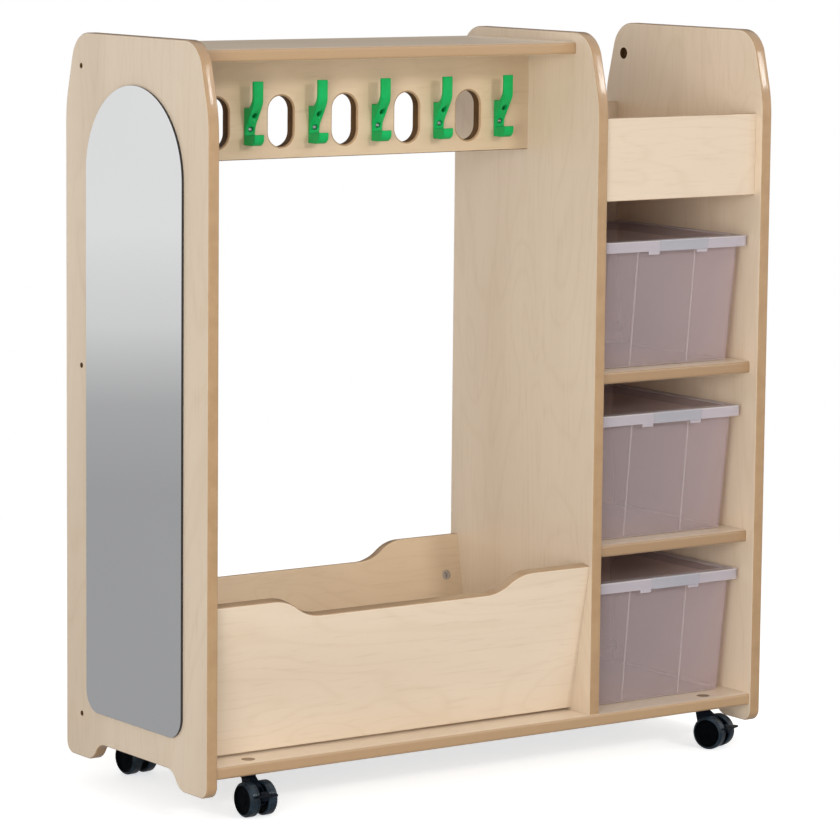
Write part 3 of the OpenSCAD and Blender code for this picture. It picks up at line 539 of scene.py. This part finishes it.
def polypropylene(name, clear, cloud, share, rough):
    """Natural polypropylene. share of the light is scattered, and the rest goes straight through."""
    mat, tree, shader = fresh(name)
    where = node(tree, "ShaderNodeTexCoord")
    haze = node(tree, "ShaderNodeTexNoise", Scale=6.0, Detail=2.0)
    tone = ramp(tree, [(0.3, [c * 0.94 for c in cloud]), (0.7, cloud)], haze.outputs[0])
    thin = node(tree, "ShaderNodeBsdfTransparent", Color=(*clear, 1))
    both = node(tree, "ShaderNodeMixShader")
    both.inputs[0].default_value = share
    out = tree.nodes["Material Output"]
    link(tree, where.outputs["Object"], haze.inputs["Vector"], tone, shader.inputs["Base Color"],
         thin.outputs[0], both.inputs[1], shader.outputs[0], both.inputs[2], both.outputs[0], out.inputs[0])
    shader.inputs["Roughness"].default_value = rough
    shader.inputs["Transmission Weight"].default_value = 0.25
    shader.inputs["IOR"].default_value = 1.45
    return mat


clear_wall = polypropylene("tub_polypropylene", (0.97, 0.94, 0.95), (0.84, 0.73, 0.76), share=0.25, rough=0.2)
# The cloudier plastic of the rim, which also paints highlights on the ribs and at the corners.
cloudy_rim_and_highlight_plastic = polypropylene("rim_and_highlight_polypropylene", (0.96, 0.94, 0.95), (0.86, 0.77, 0.78), share=0.46, rough=0.18)
ribs = (-68, 41)
rib_half, rib_out = 1.3, 1.2
rib_steps = ((-rib_half, 0), (0.2 - rib_half, 0.8), (-0.6, 1), (0.6, 1), (rib_half - 0.2, 0.8), (rib_half, 0))
corner_steps = 6


def ring(w, d, r, z, proud=0.0):
    """Points of a rounded rectangle at height z, counter-clockwise from the right front corner. Its
    rear side and then its front side have the ribs' points, which stand out by up to proud."""
    def side(s):
        out = [Vector((x + dx, s * (d / 2 + proud * up), z)) for x in ribs for dx, up in rib_steps]
        return out if s < 0 else out[::-1]

    out = []
    for k, (sx, sy) in enumerate(((1, -1), (1, 1), (-1, 1), (-1, -1))):
        for s in range(corner_steps + 1):
            a = math.radians(-90 + 90 * k + 90 * s / corner_steps)
            out.append(Vector((sx * (w / 2 - r) + r * math.cos(a), sy * (d / 2 - r) + r * math.sin(a), z)))
        if k % 2:
            out += side(1 if k == 1 else -1)
    return out


def lofted(name, rings, centre, mats, chosen):
    """Skin over rings of points in millimetres about centre, capped at both ends. chosen(row, point)
    says which material each face has."""
    bm = bmesh.new()
    rows = [[bm.verts.new(centre + p / 1000) for p in r] for r in rings]
    for k, (a, b) in enumerate(zip(rows, rows[1:])):
        for i in range(len(a)):
            f = bm.faces.new((a[i - 1], a[i], b[i], b[i - 1]))
            f.smooth = True
            f.material_index = int(chosen(k, i))
    for row in (rows[0], rows[-1]):
        bm.faces.new(row).smooth = False
    bmesh.ops.recalc_face_normals(bm, faces=bm.faces)
    return made(name, bm, mats, sharp=35)


corner_points, rib_points = corner_steps + 1, len(rib_steps)
rear_ribs = 2 * corner_points            # number of a ring's first point on its rear side
front_ribs = 4 * corner_points + len(ribs) * rib_points
# Faces of the ribs and one column at the middle of each corner take the rim's cloudier plastic: on the ribs
# partly their thicker plastic and partly a painted highlight, at the corners a painted highlight line.
thick_ribs_and_corner_highlights = [side + rib_points * n + i for side in (rear_ribs, front_ribs) for n in range(len(ribs))
               for i in range(1, rib_points)]
thick_ribs_and_corner_highlights += [k * corner_points + (k > 1) * len(ribs) * rib_points + corner_steps // 2 for k in range(4)]
wall, rim, rim_tall, floor_bend = 2, 7, 3, 3
side_draft, end_draft = 4, 18
for k, level in enumerate(("upper", "middle", "lower")):
    low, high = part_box("tub_%d" % (k + 1))
    w, d, h = ((b - a) * 1000 for a, b in zip(low, high))
    centre = Vector(((low[0] + high[0]) / 2, (low[1] + high[1]) / 2, low[2]))
    bw, bd = w - 2 * rim, d - 2 * rim    # body under the rim

    def body(z, less, r, proud=0.0):
        """Ring of the drafted body at height z, less in from its outside."""
        short = 1 - max(0, z - floor_bend) / (h - floor_bend)
        return ring(bw - 2 * side_draft * short - 2 * less, bd - 2 * end_draft * short - 2 * less,
                    r, z, proud)

    outside = [body(0, 3, 5), body(0.3, 1.6, 6), body(1.4, 0.4, 6.8), body(3, 0, 7),
               body(3.5, 0, 7, rib_out), body(h - 4, 0, 7, rib_out), body(h - 3.3, 0, 7)]
    turned_out = [ring(bw + 1, bd + 1, 6, h - rim_tall), ring(w - 1, d - 1, 4.2, h - rim_tall),
                  ring(w, d, 4.7, h - 2.3), ring(w, d, 4.7, h - 0.7), ring(w - 1, d - 1, 4.2, h),
                  ring(bw - 2, bd - 2, 6, h), ring(bw - 4, bd - 4, 5, h - 1)]
    inside = [body(5, wall, 5), body(2.6, wall + 1, 4.5), body(wall, wall + 3, 4)]
    shell = lofted("tub_" + level + "_moulded", outside + turned_out + inside, centre,
                   [clear_wall, cloudy_rim_and_highlight_plastic],
                   lambda row, i: row < 3 or 6 <= row <= 12 or (row < 6 and i in thick_ribs_and_corner_highlights))
    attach(shell, "tub_" + level)
    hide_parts("tub_%d" % (k + 1))


# ---- Tub lids --------------------------------------------------------------------------------
# Each tub has its own lid of the same plastic, with a turned-down skirt, a sunk top panel, a
# raised grip at the front and rear and two clip tabs at the front. It lifts straight off.

def joined(name, objs):
    """One plain mesh from several pieces that are moulded as one."""
    bm = bmesh.new()
    mats = []
    for o in objs:
        for m in o.data.materials:
            if m not in mats:
                mats.append(m)
    for o in objs:
        before = len(bm.faces)
        bm.from_mesh(o.data)
        bm.faces.ensure_lookup_table()
        for f in bm.faces[before:]:
            f.material_index = mats.index(o.data.materials[f.material_index])
    for o in objs:
        bpy.data.objects.remove(o)
    return made(name, bm, mats, sharp=35)


clear_top = polypropylene("lid_polypropylene", (0.97, 0.94, 0.94), (0.76, 0.63, 0.62), share=0.17, rough=0.18)
skirt = polypropylene("skirt_polypropylene", (0.96, 0.94, 0.97), (0.80, 0.77, 0.84), share=0.46, rough=0.12)
# A whiter plastic on the lid's rounded edges, the grips' faces and the tabs' edges: painted highlight lines.
lid_edge_painted_highlight = polypropylene("lid_edge_painted_highlight_polypropylene", (0.96, 0.95, 0.97), (0.88, 0.86, 0.90),
                            share=0.70, rough=0.08)
clear_grip = polypropylene("grip_polypropylene", (0.95, 0.95, 0.97), (0.66, 0.69, 0.73),
                           share=0.36, rough=0.12)
skirt_wall, skirt_tall, sunk = 2, 16, 0.8
grip_proud, grip_shift = 4, 12
tab_tall, tab_half, tab_middles = 5, 10, (-45, 47)
half_grip = [(-46, 1.3, 0), (-46, -0.3, 0), (-42, -grip_proud, 1.2)]
grip = rounded(half_grip + [(-x, y, r) for x, y, r in reversed(half_grip)])
for k, level in enumerate(("upper", "middle", "lower")):
    low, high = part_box("tub_lid_%d" % (k + 1))
    w, d = (high[0] - low[0]) * 1000, (high[1] - low[1]) * 1000 - 2 * grip_proud
    centre = Vector(((low[0] + high[0]) / 2, (low[1] + high[1]) / 2, low[2] + tab_tall / 1000))
    t, h = skirt_wall, skirt_tall
    rings = [ring(w - 2 * t - less, d - 2 * t - less, r, z) for less, r, z in (
        (6, 3, h - t), (0, 5, h - t), (0, 5, 0.4), (-0.8, 5.4, 0))]
    rings += [ring(w - less, d - less, r, z) for less, r, z in (
        (1, 6.5, 0), (0, 7, 0.5), (0, 7, h - 1.6), (0.6, 6.7, h - 0.5), (2, 6, h), (33, 6, h),
        (35, 5.5, h - sunk), (60, 5, h - sunk))]
    # Rows 3, 4, 6, 7 and 9 are the skirt's rounded edges and the sunk panel's step, which get the whiter
    # plastic as painted highlight lines.
    pieces = [lofted("lid", rings, centre, [clear_top, skirt, lid_edge_painted_highlight],
                     lambda row, i: 2 if row in (3, 4, 6, 7, 9) else 1 if row in (1, 2, 5, 8) else 0)]
    for half_turn in (0, math.pi):
        place = Matrix.Translation(centre) @ Matrix.Rotation(half_turn, 4, "Z") @ \
            Matrix.Translation((grip_shift / 1000, -d / 2000, 0))
        pieces.append(routed("grip", grip, h + 1, place, [lid_edge_painted_highlight, clear_grip], nose=0.6))
    for x in tab_middles:
        tab = [(x - tab_half, -tab_tall, 1.2), (x + tab_half, -tab_tall, 1.2), (x + tab_half, 1, 0),
               (x - tab_half, 1, 0)]
        place = Matrix.Translation(centre) @ \
            Matrix(((1, 0, 0, 0), (0, 0, 1, -d / 2000), (0, 1, 0, 0), (0, 0, 0, 1)))
        pieces.append(routed("tab", rounded(tab), t - 0.1, place, [skirt, lid_edge_painted_highlight], nose=0.6))
    lid = joined("lid_" + level + "_moulded", pieces)
    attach(lid, "lid_" + level)
    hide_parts("tub_lid_%d" % (k + 1))


# ---- Casters ---------------------------------------------------------------------------------
# Four twin-wheel swivel casters of black nylon with blue-grey treads. The front two have a brake
# pedal ahead of the wheels.

def nylon(name, colour, deep, rough, gloss):
    mat, tree, shader = fresh(name)
    where = node(tree, "ShaderNodeTexCoord")
    grain = node(tree, "ShaderNodeTexNoise", Scale=350.0, Detail=2.0)
    dust = node(tree, "ShaderNodeTexNoise", Scale=90.0, Detail=3.0)
    rough_skin = node(tree, "ShaderNodeBump", Strength=0.05, Distance=0.0003)
    link(tree, where.outputs["Object"], grain.inputs["Vector"],
         where.outputs["Object"], dust.inputs["Vector"],
         ramp(tree, [(0.3, deep), (0.7, colour)], dust.outputs[0]), shader.inputs["Base Color"],
         grain.outputs[0], rough_skin.inputs["Height"], rough_skin.outputs[0], shader.inputs["Normal"])
    shader.inputs["Roughness"].default_value = rough
    shader.inputs["Specular IOR Level"].default_value = gloss
    return mat


def turned(name, profile, place, mats, tread_from=math.inf):
    """Turns a closed profile of (radius, height) about the Z axis of place. Faces further out than
    tread_from have the second material."""
    bm = bmesh.new()
    steps = 80
    rows = []
    for p in profile:
        if p.x < 0.001:
            rows.append([bm.verts.new(place @ Vector((0, 0, p.y / 1000)))] * steps)
            continue
        rows.append([bm.verts.new(place @ Vector((p.x * math.cos(a) / 1000, p.x * math.sin(a) / 1000,
                                                  p.y / 1000)))
                     for a in (2 * math.pi * s / steps for s in range(steps))])
    for k, row in enumerate(rows):
        last = rows[k - 1]
        for i in range(steps):
            corner = list(dict.fromkeys((last[i - 1], last[i], row[i], row[i - 1])))
            if len(corner) < 3:
                continue
            f = bm.faces.new(corner)
            f.smooth = True
            f.material_index = int(min(profile[k - 1].x, profile[k].x) > tread_from)
    bmesh.ops.recalc_face_normals(bm, faces=bm.faces)
    return made(name, bm, mats, sharp=40)


def slab(thick):
    """Frame of a slab that stands fore and aft, with its thickness centred on the swivel's middle."""
    return Matrix(((0, 0, 1, -thick / 2000), (1, 0, 0, 0), (0, 1, 0, 0), (0, 0, 0, 1)))


caster_nylon = nylon("caster_nylon", (0.005, 0.008, 0.015), (0.003, 0.005, 0.008), rough=0.35, gloss=0.08)
face_nylon = nylon("wheel_face_nylon", (0.002, 0.003, 0.004), (0.001, 0.0015, 0.002), rough=0.4, gloss=0.02)
tread_nylon = nylon("wheel_tread_nylon", (0.018, 0.033, 0.050), (0.004, 0.009, 0.015),
                    rough=0.18, gloss=0.28)
radius, wide, gap, trail, bore, tread_deep = 25, 16, 14, 20, 3.05, 4.2
web = gap - 1.4                          # the hood's plate between the wheels
hood_top = 56.7
hood_side = rounded([(-trail - 17, radius - 7, 6), (-trail + 4, radius - 15, 8), (4, radius + 2, 10),
                     (9.5, hood_top - 6, 0), (9.5, hood_top, 0), (-9.5, hood_top, 4),
                     (-trail - 12, radius + 16, 10), (-trail - 21, radius + 1, 5)])
stem_clear, crown_r, crown_tall, crown_bend = 4.1, 11, 5, 0.8
crown_side = rounded([(stem_clear, hood_top - crown_tall, 0), (crown_r, hood_top - crown_tall, crown_bend),
                      (crown_r, hood_top, crown_bend), (stem_clear, hood_top, 0)])
wheel_side = rounded([(bore, 0, 0), (bore + 3, 0, 0), (bore + 3, 2, 0), (radius - 5, 2, 0),
                      (radius - 3, 0, 0), (radius, 0, 2), (radius, 3.4, 0), (radius - 0.7, 3.8, 0),
                      (radius, 4.2, 0), (radius, wide - 3, 2.6), (radius - 3.4, wide, 1.4),
                      (radius - 5.4, wide, 0.8), (radius - 7.2, wide - 2.6, 1.5), (8, wide - 2.6, 1),
                      (6.8, wide - 1.4, 0.6), (0, wide - 1.2, 0), (0, wide - 3.4, 0),
                      (bore, wide - 3.4, 0)])
hinge = Vector((-trail - 15, radius + 3))
guard_out, guard_in, guard_wide = 12.5, 9.8, 12
arc = [math.radians(a) for a in range(-8, 61, 4)]
guard = [hinge + guard_out * Vector((-math.cos(a), math.sin(a))) for a in reversed(arc)] + \
        [hinge + guard_in * Vector((-math.cos(a), math.sin(a))) for a in arc]
for corner, turn in (("fl", 0), ("fr", 22), ("rl", 6), ("rr", -14)):
    low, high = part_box("stem_" + corner)
    swivel = Matrix.Translation(((low[0] + high[0]) / 2, (low[1] + high[1]) / 2, 0)) @ \
        Matrix.Rotation(math.radians(turn), 4, "Z")
    crown = turned("crown_" + corner, crown_side, swivel, [caster_nylon])
    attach(crown, "swivel_" + corner)
    hood = routed("hood_" + corner + "_moulded", hood_side, web, swivel @ slab(web),
                  [caster_nylon, caster_nylon], nose=1.6)
    bored(hood, "hood_" + corner, caster_nylon, "swivel_" + corner)
    for side, s in (("a", -1), ("b", 1)):
        middle = swivel @ Matrix.Translation((s * gap / 2000, -trail / 1000, radius / 1000)) @ \
            Matrix.Rotation(s * math.pi / 2, 4, "Y")
        wheel = turned("roller_%s_%s_moulded" % (corner, side), wheel_side, middle,
                       [face_nylon, tread_nylon], radius - tread_deep)
        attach(wheel, "roller_%s_%s" % (corner, side))
        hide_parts("wheel_%s_%s" % (corner, side))
    if corner[0] == "f":
        shield = routed("pedal_shield_" + corner, guard, guard_wide, swivel @ slab(guard_wide),
                        [caster_nylon, caster_nylon], nose=0.5)
        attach(shield, "pedal_" + corner)
finished(caster_nylon, "brake_pedal_fl", "brake_pedal_fr")


# ---- Floor, lamps and view -------------------------------------------------------------------
# A pale floor, and a white room that glossy surfaces see dark behind the unit. A key, a fill and a
# rear lamp light it, and three small lamps put glints on the uprights' sloping edges. The camera
# stands where the photograph's was.

room = bpy.data.worlds.new("white_room")
bpy.context.scene.world = room
room.use_nodes = True
tree = room.node_tree
tree.nodes.clear()
lit = node(tree, "ShaderNodeBackground", Color=(1, 0.965, 0.925, 1), Strength=0.48)
bright = node(tree, "ShaderNodeBackground", Color=(1, 1, 1, 1), Strength=1.0)
rays = node(tree, "ShaderNodeLightPath")
seen_or_glossy = node(tree, "ShaderNodeMath", operation="MAXIMUM")
or_through = node(tree, "ShaderNodeMath", operation="MAXIMUM")
seen = node(tree, "ShaderNodeMixShader")
out = node(tree, "ShaderNodeOutputWorld")
link(tree, rays.outputs["Is Camera Ray"], seen_or_glossy.inputs[0],
     rays.outputs["Is Glossy Ray"], seen_or_glossy.inputs[1],
     seen_or_glossy.outputs[0], or_through.inputs[0],
     rays.outputs["Is Transmission Ray"], or_through.inputs[1],
     or_through.outputs[0], seen.inputs[0], lit.outputs[0], seen.inputs[1], bright.outputs[0], seen.inputs[2])
gaze = node(tree, "ShaderNodeTexCoord")
behind = node(tree, "ShaderNodeVectorMath", operation="DOT_PRODUCT")
behind.inputs[1].default_value = (0.577, 0.817, 0)
shaded = node(tree, "ShaderNodeMapRange", From_Min=0.6, From_Max=0.9)
in_gloss = node(tree, "ShaderNodeMath", operation="MULTIPLY")
dark = node(tree, "ShaderNodeBackground", Color=(0.10, 0.095, 0.09, 1), Strength=1.0)
curtain = node(tree, "ShaderNodeMixShader")
link(tree, gaze.outputs["Generated"], behind.inputs[0], behind.outputs["Value"], shaded.inputs[0],
     shaded.outputs[0], in_gloss.inputs[0], rays.outputs["Is Glossy Ray"], in_gloss.inputs[1],
     in_gloss.outputs[0], curtain.inputs[0], seen.outputs[0], curtain.inputs[1],
     dark.outputs[0], curtain.inputs[2], curtain.outputs[0], out.inputs[0])

floor_mat, tree, shader = fresh("studio_floor")
shader.inputs["Base Color"].default_value = (0.72, 0.70, 0.67, 1)
shader.inputs["Roughness"].default_value = 0.9
rays = node(tree, "ShaderNodeLightPath")
where = node(tree, "ShaderNodeTexCoord")
far = node(tree, "ShaderNodeVectorMath", operation="LENGTH")
reach = node(tree, "ShaderNodeMapRange", From_Min=3.2, From_Max=9.5, To_Min=0.0, To_Max=1.0)
# For glossy rays the floor glows grey, lighter further off, and is not lit: a painted reflection that the
# mirror shows.
mirror_painted_reflection = ramp(tree, [(0.0, (0.345, 0.345, 0.35)), (0.22, (0.405, 0.405, 0.41)), (0.5, (0.64, 0.64, 0.64)),
                   (1.0, (0.755, 0.755, 0.755))], reach.outputs[0])
lift = node(tree, "ShaderNodeEmission", Color=(0.93, 0.965, 1, 1), Strength=0.66)
white = node(tree, "ShaderNodeEmission", Color=(1, 1, 1, 1), Strength=1.0)
fade = node(tree, "ShaderNodeMapRange", From_Min=1.0, From_Max=2.4)
faded = node(tree, "ShaderNodeMixShader")
grey = node(tree, "ShaderNodeEmission", Strength=1.0)
added = node(tree, "ShaderNodeAddShader")
to_camera = node(tree, "ShaderNodeMixShader")
to_mirror = node(tree, "ShaderNodeMixShader")
out = tree.nodes["Material Output"]
link(tree, where.outputs["Object"], far.inputs[0], far.outputs["Value"], reach.inputs[0],
     mirror_painted_reflection, grey.inputs["Color"], shader.outputs[0], added.inputs[0], lift.outputs[0], added.inputs[1],
     far.outputs["Value"], fade.inputs[0], fade.outputs[0], faded.inputs[0],
     added.outputs[0], faded.inputs[1], white.outputs[0], faded.inputs[2],
     rays.outputs["Is Camera Ray"], to_camera.inputs[0],
     shader.outputs[0], to_camera.inputs[1], faded.outputs[0], to_camera.inputs[2],
     rays.outputs["Is Glossy Ray"], to_mirror.inputs[0], to_camera.outputs[0], to_mirror.inputs[1],
     grey.outputs[0], to_mirror.inputs[2], to_mirror.outputs[0], out.inputs[0])
bm = bmesh.new()
bmesh.ops.create_grid(bm, x_segments=8, y_segments=8, size=30)
floor = made("studio_floor", bm, [floor_mat])

lamp_aim = Vector((0, 0, 0.55))          # every lamp points here, and far is measured from here
for name, across_deg, up_deg, far, size, power, tint, glints in (
        ("key_lamp", 11, 24, 4.6, 0.5, 50, (1.0, 0.98, 0.95), False),
        ("fill_lamp", -50, 6, 4.6, 2.2, 100, (1.0, 0.985, 0.95), False),
        ("left_edge_lamp", 27.3, 26.9, 4.4, 0.32, 7, (1.0, 1.0, 1.0), True),
        ("middle_edge_lamp", 40.9, 23.6, 4.7, 0.32, 7, (1.0, 1.0, 1.0), True),
        ("right_edge_lamp", 45.8, 22.1, 4.9, 0.32, 7, (1.0, 1.0, 1.0), True),
        ("rear_lamp", 165, 32, 4.6, 2.0, 36, (1.0, 0.98, 0.95), False)):
    lamp = bpy.data.lights.new(name, "AREA")
    lamp.shape, lamp.size, lamp.energy, lamp.color = "SQUARE", size, power, tint
    a, e = math.radians(across_deg), math.radians(up_deg)
    aim = Vector((math.sin(a) * math.cos(e), -math.cos(a) * math.cos(e), math.sin(e)))
    obj = bpy.data.objects.new(name, lamp)
    obj.location = aim * far + lamp_aim
    obj.rotation_euler = (-aim).to_track_quat("-Z", "Y").to_euler()
    obj.visible_glossy = glints
    bpy.context.scene.collection.objects.link(obj)

yaw, dive, roll = 0.616854, 0.135080, 0.00993751
focal_pixels, picture_pixels = 4076.877, 840
ahead = Vector((math.sin(yaw) * math.cos(dive), math.cos(yaw) * math.cos(dive), -math.sin(dive)))
right = Vector((math.cos(yaw), -math.sin(yaw), 0))
up = right.cross(ahead)
tilted_right = math.cos(roll) * right + math.sin(roll) * up
tilted_up = -math.sin(roll) * right + math.cos(roll) * up
camera = bpy.data.cameras.new("photo_camera")
camera.sensor_width = 36
camera.lens = focal_pixels / picture_pixels * camera.sensor_width
camera.clip_end = 100
eye = bpy.data.objects.new("photo_camera", camera)
aimed = Matrix((tilted_right, tilted_up, -ahead)).transposed().to_4x4()
aimed.translation = at(-2991.73, -4725.40, 1300.72)
eye.matrix_world = aimed
bpy.context.scene.collection.objects.link(eye)
bpy.context.scene.camera = eye
bpy.context.scene.view_settings.view_transform = "Standard"
